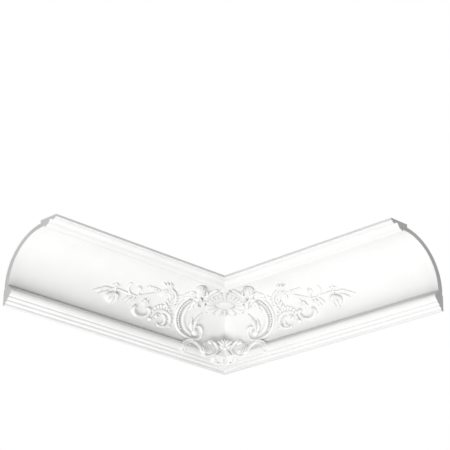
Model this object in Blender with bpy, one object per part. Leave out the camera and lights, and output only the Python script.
# Inside-corner ceiling cornice: two mitred legs with carved ornament, cast in one piece.
# Origin: where the two walls and the ceiling meet. The right leg runs along +X on the
# wall plane y = 0, the left leg along -Y on the wall plane x = 0, the ceiling is z = 0.
# Sizes are in millimetres here and become metres in solid().
import bmesh
import bpy
import math

MM = 0.001
LEG = 600.0            # each leg, along its wall from the room corner
DROP = 150.0           # down the wall
REACH = 150.0          # out along the ceiling
COVE_P, COVE_Z = 113.5, -110.0     # centre of the hollow, from the wall and the ceiling
COVE_A, COVE_B = 100.0, 95.0       # its half axes on the room side
BACK_A, BACK_B = 112.0, 104.0      # the same on the hidden side
COVE_ARC = 153.18      # length of the hollow along its curve
ROUND = 15.0           # how far corner ornament stands off the mitre crease
SINK = 4.0             # how deep ornament roots in the shell
STEP = 14.0            # distance between stations along a stroke
KEEP = 0.42            # share of the facets kept after the strokes are united

ROLL = ((-1, 0), (-0.7, 0.75), (0, 1), (0.7, 0.75), (1, 0))
LEAF = ((-1, 0), (-0.5, 1), (0, 0.5), (0.5, 1), (1, 0))
BAND = ((-1, 0), (-0.9, 1), (0.9, 1), (1, 0))


# The moulded shell
def arc(half_p, half_z, start, end, count):
    """Points of an elliptical arc about the centre of the hollow, angles in degrees."""
    out = []
    for i in range(count + 1):
        t = math.radians(start + (end - start) * i / count)
        out.append((COVE_P - half_p * math.cos(t), COVE_Z + half_z * math.sin(t)))
    return out


def section():
    """Outline of the moulding: distance from the wall, height below the ceiling."""
    ceiling_edge = [(REACH, 0), (149.5, -4.5), (145.5, -7.8), (140.5, -9.5), (134, -5.5),
                    (131.5, -6.5), (128.5, -9), (125, -14.5), (119, -17.5), (115.5, -15)]
    hollow = arc(COVE_A, COVE_B, 90, 2.4, 16)
    groove = [(12, -109), (23, -119.5)]
    bead = [(24, -122), (23.5, -126), (21, -130), (17.4, -132.6)]
    steps = [(17.3, -135.6), (12.2, -138.8), (12, -142.6), (6.8, -144.6), (6.6, -149.2), (5, -DROP)]
    wall_face = [(0, -DROP), (0, -119), (1.5, -117)]
    back = arc(BACK_A, BACK_B, 0, 84.6, 9)
    return ceiling_edge + hollow + groove + bead + steps + wall_face + back + [(back[-1][0], 0)]


def shell():
    """Both legs in one loft: left cut end, mitre, right cut end."""
    outline = section()
    n = len(outline)
    points = [(p, -LEG, z) for p, z in outline]
    points += [(p, -p, z) for p, z in outline]
    points += [(LEG, -p, z) for p, z in outline]
    faces = [list(range(n)), list(range(3 * n - 1, 2 * n - 1, -1))]
    for ring in (0, n):
        for i in range(n):
            j = (i + 1) % n
            faces.append([ring + j, ring + i, ring + n + i, ring + n + j])
    return points, faces


# Where ornament sits
def hollow_at(v):
    """Point and room-facing normal of the hollow, v millimetres up its curve."""
    if v < 0:
        return COVE_P - COVE_A, COVE_Z + v, 1.0, 0.0
    t = v / COVE_ARC * math.pi / 2
    n_p, n_z = math.cos(t) / COVE_A, -math.sin(t) / COVE_B
    size = math.hypot(n_p, n_z)
    return COVE_P - COVE_A * math.cos(t), COVE_Z + COVE_B * math.sin(t), n_p / size, n_z / size


def on_leg(u, v, h):
    """Right leg: u along the wall, v up the hollow, h off its surface."""
    p, z, n_p, n_z = hollow_at(v)
    return u, -(p + h * n_p), z + h * n_z


def on_corner(a, v, h):
    """Across the mitre: a sideways from the crease, v up the hollow, h off the crease."""
    p, z, n_p, n_z = hollow_at(v)
    if v < 0:
        p += min(-v, 12.0) - max(-v - 12.0, 0.0) * 0.6
    if h < 0:
        forward, side = p * math.sqrt(2) + abs(a) - 9.0, a
    else:
        reach = math.hypot(a, ROUND)
        slope = a / reach
        lean = math.hypot(1, slope)
        forward = p * math.sqrt(2) + reach + h * n_p / lean
        side = a - h * n_p * slope / lean
        z += h * n_z
    return (side + forward) / math.sqrt(2), (side - forward) / math.sqrt(2), z


# The carver's strokes: each gives one closed solid
def spline(keys, count):
    """Even stations on a smooth curve through the keys (a, b, width, height)."""
    out = []
    for i in range(count + 1):
        s = i / count * (len(keys) - 1)
        k = min(int(s), len(keys) - 2)
        t = s - k
        quad = [keys[max(k - 1, 0)], keys[k], keys[k + 1], keys[min(k + 2, len(keys) - 1)]]
        out.append([0.5 * (2 * q1 + (q2 - q0) * t + (2 * q0 - 5 * q1 + 4 * q2 - q3) * t ** 2
                           + (3 * q1 - q0 - 3 * q2 + q3) * t ** 3)
                    for q0, q1, q2, q3 in zip(*quad)])
    return out


def stroke(chart, keys, shape=ROLL):
    """A stroke of the given cross shape along the keys."""
    length = sum(math.dist(a[:2], b[:2]) for a, b in zip(keys, keys[1:]))
    stations = spline(keys, max(2, len(keys) - 1, round(length / STEP)))
    ring = [(s, k) for s, k in shape]
    n = len(ring) + 2
    points, faces = [], []
    for i, (a, b, width, height) in enumerate(stations):
        before, after = stations[max(i - 1, 0)], stations[min(i + 1, len(stations) - 1)]
        da, db = after[0] - before[0], after[1] - before[1]
        size = math.hypot(da, db)
        sa, sb = db / size, -da / size
        half = max(width, 0.8) / 2
        points.append(chart(a - half * sa, b - half * sb, -SINK))
        for s, k in ring:
            points.append(chart(a + s * half * sa, b + s * half * sb, 0.2 + k * height))
        points.append(chart(a + half * sa, b + half * sb, -SINK))
    last = len(stations) - 1
    faces.append(list(range(n)))
    faces.append(list(range((last + 1) * n - 1, last * n - 1, -1)))
    for i in range(last):
        for j in range(n):
            k = (j + 1) % n
            faces.append([i * n + k, i * n + j, (i + 1) * n + j, (i + 1) * n + k])
    return points, faces


def dome(chart, a, b, ra, rb, height, turn=0.0, sides=10):
    """A rounded boss on an elliptical foot."""
    c, s = math.cos(math.radians(turn)), math.sin(math.radians(turn))
    rings = ((1.0, -SINK), (1.0, 0.25), (0.78, 0.78 * height), (0.4, 0.97 * height))
    points, faces = [], []
    for scale, h in rings:
        for i in range(sides):
            w = 2 * math.pi * i / sides
            x, y = ra * scale * math.cos(w), rb * scale * math.sin(w)
            points.append(chart(a + x * c - y * s, b + x * s + y * c, h))
    for r in range(len(rings) - 1):
        for i in range(sides):
            j = (i + 1) % sides
            faces.append([r * sides + i, r * sides + j, (r + 1) * sides + j, (r + 1) * sides + i])
    faces.append([i for i in range(sides - 1, -1, -1)])
    faces.append([(len(rings) - 1) * sides + i for i in range(sides)])
    return points, faces


def ball(chart, a, b, h, radius, sides=8, rows=5):
    """A whole ball with its centre h off the surface."""
    cx, cy, cz = chart(a, b, h)
    points = [(cx, cy, cz - radius)]
    for r in range(1, rows):
        w = math.pi * r / rows
        for i in range(sides):
            t = 2 * math.pi * i / sides
            points.append((cx + radius * math.sin(w) * math.cos(t),
                           cy + radius * math.sin(w) * math.sin(t), cz - radius * math.cos(w)))
    points.append((cx, cy, cz + radius))
    top = len(points) - 1
    faces = []
    for i in range(sides):
        j = (i + 1) % sides
        faces.append([0, 1 + j, 1 + i])
        faces.append([top, top - sides + i, top - sides + j])
        for r in range(rows - 2):
            low = 1 + r * sides
            faces.append([low + i, low + j, low + sides + j, low + sides + i])
    return points, faces


def leaf(chart, start, bend, tip, width, height=4.0):
    """A pointed leaf with a sunk midrib."""
    return stroke(chart, [(*start, width * 0.5, height * 0.8), (*bend, width, height),
                          (*tip, width * 0.12, height * 0.5)], LEAF)


# Ornament of one leg
def great_scroll():
    """C-scroll with a beaded channel, its volute by the corner, a leaf springing inside."""
    out = [stroke(on_leg, [(112, 15, 9, 1.2), (130, 17, 12, 1.2), (146, 29, 15, 1.2), (156, 46, 16, 1.2),
                           (159, 63, 16, 1.2), (157.5, 79, 14, 1.2), (153, 91, 9, 1.2)], BAND)]
    out.append(stroke(on_leg, [(157, 107, 4, 5.5), (166, 101, 5, 6.5), (172, 91, 5, 7), (175.5, 77, 5, 7),
                               (176, 61, 5, 7), (171.5, 41, 5, 6.5), (161, 25, 5, 6.5), (146, 15, 5.5, 6.5),
                               (124, 10.5, 6, 6.5), (106, 11, 7, 6.5), (95, 17, 7, 6.5), (91, 28, 6.5, 6.5),
                               (94, 38, 6, 6.5), (102, 43, 5, 6), (111, 41.5, 4, 5.5), (116, 37, 3, 4.5)]))
    out.append(stroke(on_leg, [(117, 23.5, 3, 4.5), (141, 34.5, 3, 5), (151, 62, 3, 5), (146, 86, 2.5, 4)]))
    for i in range(7):
        t = i / 6
        out.append(dome(on_leg, 159 + 8.5 * math.sin(math.pi * (0.15 + 0.75 * t)) - 3 * t, 34 + 54 * t,
                        2.6, 3.0, 6.5, sides=6))
    out.append(dome(on_leg, 111, 28.5, 8.5, 8, 7.5, 20))
    out.append(leaf(on_leg, (117, 30), (118, 50), (111, 73), 9, 6.5))
    out.append(leaf(on_leg, (121, 28), (127.5, 40), (130, 55), 8, 6.5))
    return out


def cherub():
    """Winged child leaning over the top of the great scroll."""
    out = [ball(on_leg, 169.5, 136, 8.5, 11, 10, 7)]
    out.append(ball(on_leg, 167, 139, 8, 11.3, 8, 6))
    out.append(dome(on_leg, 153, 112, 12, 8.5, 10, 35))
    out.append(dome(on_leg, 148, 101, 8.5, 8.5, 9.5, 80, sides=8))
    out.append(stroke(on_leg, [(152, 117, 7.5, 9.5), (142, 116, 7, 9.5), (136.5, 121, 6, 8.5),
                               (139, 129, 5, 7)]))
    out.append(stroke(on_leg, [(149, 108, 7, 8.5), (139, 104, 6, 7.5), (127, 94, 4, 5)]))
    out.append(stroke(on_leg, [(147, 97, 9, 9.5), (139, 88, 8, 7.5), (125, 84, 5, 5)]))
    out.append(stroke(on_leg, [(150, 97, 9, 9.5), (150, 86, 7.5, 8), (148, 75, 5.5, 6)]))
    for root, bend, tip in (((162, 114), (176, 122), (188, 124)), ((163, 109), (176, 114), (189, 113)),
                            ((163, 104), (175, 105), (186, 101))):
        out.append(stroke(on_leg, [(*root, 5, 6), (*bend, 6.5, 6), (*tip, 4, 4)]))
    return out


def feathered_curl():
    """Acanthus curl that turns over outward, with fringed leaflets."""
    out = [stroke(on_leg, [(193, 62, 4, 3), (192, 76, 6, 4), (198, 89, 7, 5), (209, 98, 7, 6),
                           (220, 103, 6, 6), (228, 108, 4, 4)])]
    out.append(stroke(on_leg, [(202, 66, 5, 3), (205, 84, 12, 4), (218, 95, 14, 4), (233, 95, 8, 4)], LEAF))
    for tip in ((231, 118), (238, 119), (246, 117), (252, 112)):
        out.append(leaf(on_leg, (226, 101), ((226 + tip[0]) / 2, (103 + tip[1]) / 2), tip, 6, 5))
    out.append(leaf(on_leg, (229, 97), (232, 88), (232, 77), 6, 5))
    for i in range(4):
        b = 64 + 9 * i
        out.append(leaf(on_leg, (195, b), (189, b + 5), (183, b + 12), 5, 3))
        out.append(leaf(on_leg, (203, b), (208, b + 1), (213 - i, b + 6), 5, 4))
    return out


def small_scroll():
    """C-scroll fringed with gadroons, a crescent leaf inside it."""
    spine = [(217, 18, 3, 4), (203, 17, 6, 6), (190, 22, 7, 7), (185, 32, 7, 7), (189, 42, 7, 7),
             (199, 48, 7, 7), (212, 50, 7, 7), (225, 47, 6, 6), (233, 39, 5, 6), (236, 28, 5, 6)]
    out = [stroke(on_leg, spine), dome(on_leg, 238, 24, 6, 5, 7, sides=8)]
    for i in range(9):
        w = math.radians(195 - 19 * i)
        foot = (211 + 21 * math.cos(w), 31 + 19 * math.sin(w))
        tip = (211 + 33 * math.cos(w - 0.12), 31 + 33 * math.sin(w - 0.12))
        middle = ((foot[0] + tip[0]) / 2, (foot[1] + tip[1]) / 2)
        out.append(stroke(on_leg, [(*foot, 6, 5), (*middle, 7, 5), (*tip, 3, 3)]))
    out.append(stroke(on_leg, [(208, 42, 3, 3), (200, 35, 7, 6), (201, 25, 7, 6), (210, 20, 3, 3)]))
    out.append(dome(on_leg, 221, 34, 5, 4, 4, sides=6))
    return out


def lying_scroll():
    """C-scroll lying on its back under the spray."""
    spine = [(250, 45, 4, 4), (244, 41, 8, 7), (248, 31, 8, 7), (258, 25, 7, 7), (269, 22, 7, 7),
             (279, 24, 8, 7), (286, 31, 9, 7), (284, 39, 7, 6), (278, 38, 4, 5)]
    return [stroke(on_leg, spine), dome(on_leg, 248, 44, 5, 5, 7, sides=8)]


def spray():
    """Long rose branch that runs out along the leg."""
    out = [stroke(on_leg, [(232, 95, 7, 4), (250, 81, 6, 4), (270, 70, 6, 4), (289, 66, 5, 4),
                           (304, 63, 5, 4), (320, 65, 4, 4), (345, 64, 4, 4), (360, 61, 3, 3)])]
    out.append(leaf(on_leg, (241, 89), (262, 91), (284, 95), 9, 4))
    for i in range(3):
        out.append(leaf(on_leg, (247 + 10 * i, 91), (251 + 10 * i, 96), (257 + 10 * i, 99), 4, 3))
    out.append(stroke(on_leg, [(286, 68, 3, 3), (292, 71, 3, 3), (294, 76, 3, 3)]))
    out.append(dome(on_leg, 298, 83, 8.5, 8.5, 7))
    out.append(leaf(on_leg, (313, 67), (316, 79), (323, 92), 8, 5))
    for bend, tip in (((292, 55), (299, 46)), ((301, 54), (308, 46)), ((309, 57), (318, 51))):
        out.append(leaf(on_leg, (bend[0] - 7, 63), bend, tip, 9, 4))
    out.append(stroke(on_leg, [(254, 79, 4, 3), (258, 72, 3, 3), (261, 64, 4, 3)]))
    for tip in ((255, 56), (264, 50), (274, 55)):
        out.append(leaf(on_leg, (261, 64), ((261 + tip[0]) / 2, (62 + tip[1]) / 2), tip, 7, 5))
    for tip in ((344, 79), (356, 79), (364, 72)):
        out.append(leaf(on_leg, (350, 66), ((350 + tip[0]) / 2, (67 + tip[1]) / 2), tip, 8, 4))
    out.append(dome(on_leg, 349, 45, 9, 10, 7))
    for bend, tip in (((338, 49), (343, 37)), ((349, 47), (351, 32)), ((360, 49), (357, 37))):
        out.append(leaf(on_leg, (347, 60), bend, tip, 9, 7))
    for bend, tip in (((376, 62), (391, 58)), ((383, 56), (402, 51)), ((374, 50), (387, 44))):
        out.append(leaf(on_leg, (359, 60), bend, tip, 8, 4))
    return out


# Ornament of the corner, right half
def palmette():
    """Half of the shell-like palmette round an oval boss."""
    out = []
    for foot, tip, width in (((9, 92.5), (21, 76.5), 9.5), ((18.5, 90), (36, 77), 9.5),
                             ((23, 95.5), (45, 86.5), 9), ((24, 102.5), (41.5, 99.5), 10),
                             ((22, 109), (33, 113), 8.5), ((17.5, 114), (24.5, 120.5), 8),
                             ((12.3, 117.5), (16, 127), 7), ((7, 119.5), (8.8, 131), 5.5)):
        out.append(stroke(on_corner, [(*foot, width * 0.75, 5), (*tip, width * 0.9, 6)]))
    out.append(stroke(on_corner, [(9, 142, 3, 6), (21, 129, 4.5, 6.5), (37.5, 109.5, 4.5, 6.5),
                                  (48, 93, 3, 5)]))
    out.append(stroke(on_corner, [(15, 147, 3, 5), (19, 141.5, 5, 7), (35.5, 119, 5.5, 7), (47, 103, 3, 5)]))
    out.append(stroke(on_corner, [(44, 103, 4, 5.5), (50, 93, 8, 6.5), (50.5, 80, 3, 4)]))
    return out


def palmette_middle():
    """Plate, boss, rim, keystone and lower bud, on the crease itself."""
    rim = [(20.6 * math.cos(math.radians(w)), 105 + 10.8 * math.sin(math.radians(w)), 3, 5.4)
           for w in range(90, 451, 36)]
    return [dome(on_corner, 0, 107, 38, 25, 3.4, sides=16), dome(on_corner, 0, 105.5, 16.6, 7.8, 7, sides=12),
            stroke(on_corner, rim[:6]), stroke(on_corner, rim[5:]),
            stroke(on_corner, [(0, 116, 6, 6), (0, 128, 5, 7), (0, 139, 6, 8), (0, 147, 9, 8.5)]),
            stroke(on_corner, [(-11, 146, 3, 6), (0, 149.5, 6, 9), (11, 146, 3, 6)]),
            stroke(on_corner, [(0, 95, 4, 5), (0, 86, 6.5, 6.5), (0, 77, 2, 4)])]


def bracket():
    """Scrolled bracket beside the lower shell, ending in an arch over the groove."""
    out = [stroke(on_corner, [(39, 9, 3, 8), (36, 16.5, 4.5, 9), (28.5, 17, 5, 10), (23, 9.5, 5, 12),
                              (21.5, 0, 5, 12.5), (24.5, -10, 5.5, 10.5), (31, -17, 6.5, 9.5),
                              (41, -20.5, 7.5, 9.5), (50, -19, 7, 9)])]
    out.append(stroke(on_corner, [(46, -18, 7, 8.5), (53, -9, 8.5, 9), (60, 0, 8.5, 9), (68, 4, 8.5, 9.5),
                                  (77, 2, 8.5, 9.5), (84.5, -6, 7, 9), (89.5, -16, 4.5, 8), (93, -26, 4, 6)]))
    out.append(stroke(on_corner, [(77, -5, 3, 9), (81, -14, 3.2, 8.5), (88, -26, 3.5, 5)]))
    out.append(ball(on_corner, 34.5, 12.5, 6, 4.6, 6, 4))
    out.append(dome(on_corner, 33, -3, 13.5, 16, 4.5))
    out.append(dome(on_corner, 36, -6.5, 3.6, 3.6, 7, sides=6))
    for s in range(3):
        out.append(stroke(on_corner, [(45 + 3.8 * s, 3 - 3.4 * s, 2, 7), (43.5 + 3.8 * s, -5 - 2 * s, 3, 9.5),
                                      (41 + 4 * s, -15 - 0.8 * s, 2.5, 9)]))
    return out


def lower_shell():
    """Half of the ribbed shell that hangs over the bead, and of its leafy crown."""
    out = []
    for i in range(1, 5):
        out.append(stroke(on_corner, [(1.5 * i, 8, 3.4, 13.5), (3.2 * i, -5, 5.6, 12),
                                      (5.4 * i, -18, 7.4, 9.5), (6.7 * i, -26.5 + 0.2 * i * i, 8, 8)]))
    for foot, tip, width, high in (((3, 13), (12.5, 26), 7.5, 10.5), ((5, 9), (17, 18), 6.5, 12),
                                   ((4, 4), (15, 9), 5.5, 13.5)):
        out.append(stroke(on_corner, [(*foot, width * 0.6, high * 0.9), (*tip, width, high)]))
    return out


def lower_shell_middle():
    """Plate, middle rib and its pointed dart."""
    return [dome(on_corner, 0, 2, 22, 20, 8, sides=12),
            stroke(on_corner, [(0, 8, 4, 13.5), (0, -5, 6, 12), (0, -18, 8, 9.5), (0, -28, 9, 8)]),
            stroke(on_corner, [(0, -13, 3, 12.5), (0, -21, 9, 12), (0, -29, 9, 11)]),
            stroke(on_corner, [(0, 4, 4, 12), (0, 23, 6, 11.5)])]


# Putting it together
def solid(name, points, faces):
    """One closed mesh, in metres, facing outward."""
    mesh = bpy.data.meshes.new(name)
    mesh.from_pydata([(x * MM, y * MM, z * MM) for x, y, z in points], [], faces)
    mesh.update()
    made = bpy.data.objects.new(name, mesh)
    bpy.context.collection.objects.link(made)
    bpy.context.view_layer.objects.active = made
    made.select_set(True)
    bpy.ops.object.mode_set(mode="EDIT")
    bpy.ops.mesh.select_all(action="SELECT")
    bpy.ops.mesh.normals_make_consistent(inside=False)
    bpy.ops.mesh.quads_convert_to_tris()
    bpy.ops.object.mode_set(mode="OBJECT")
    made.select_set(False)
    return made


def keep_outer_skin(mesh):
    """Fill the pinholes left between crossing strokes: only the largest island stays."""
    work = bmesh.new()
    work.from_mesh(mesh)
    islands, seen = [], set()
    for start in work.verts:
        if start in seen:
            continue
        island, queue = [], [start]
        seen.add(start)
        while queue:
            vert = queue.pop()
            island.append(vert)
            for edge in vert.link_edges:
                other = edge.other_vert(vert)
                if other not in seen:
                    seen.add(other)
                    queue.append(other)
        islands.append(island)
    islands.sort(key=len)
    for island in islands[:-1]:
        bmesh.ops.delete(work, geom=island, context="VERTS")
    work.to_mesh(mesh)
    work.free()


def foam():
    """Matte white painted foam."""
    material = bpy.data.materials.new("white_foam")
    material.use_nodes = True
    shader = material.node_tree.nodes["Principled BSDF"]
    shader.inputs["Base Color"].default_value = (0.88, 0.88, 0.87, 1.0)
    shader.inputs["Roughness"].default_value = 0.7
    shader.inputs["Metallic"].default_value = 0.0
    return material


def mirrored(piece):
    """The same stroke on the other leg."""
    points, faces = piece
    return [(-y, -x, z) for x, y, z in points], faces


def main():
    for old in list(bpy.data.objects):
        bpy.data.objects.remove(old, do_unlink=True)
    cornice = solid("corner_cornice", *shell())
    half = (great_scroll() + cherub() + feathered_curl() + small_scroll() + lying_scroll() + spray()
            + palmette() + bracket() + lower_shell())
    pieces = palmette_middle() + lower_shell_middle() + half + [mirrored(p) for p in half]
    strokes = bpy.data.collections.new("strokes")
    for i, piece in enumerate(pieces):
        strokes.objects.link(solid("stroke_%d" % i, *piece))
    union = cornice.modifiers.new("carving", "BOOLEAN")
    union.operation, union.solver = "UNION", "EXACT"
    union.operand_type, union.collection = "COLLECTION", strokes
    union.use_self = True
    bpy.context.view_layer.objects.active = cornice
    bpy.ops.object.modifier_apply(modifier=union.name)
    for used in list(strokes.objects):
        bpy.data.objects.remove(used, do_unlink=True)
    keep_outer_skin(cornice.data)
    thin = cornice.modifiers.new("thin", "DECIMATE")
    thin.ratio = KEEP
    bpy.ops.object.modifier_apply(modifier=thin.name)
    cornice.data.materials.append(foam())


main()
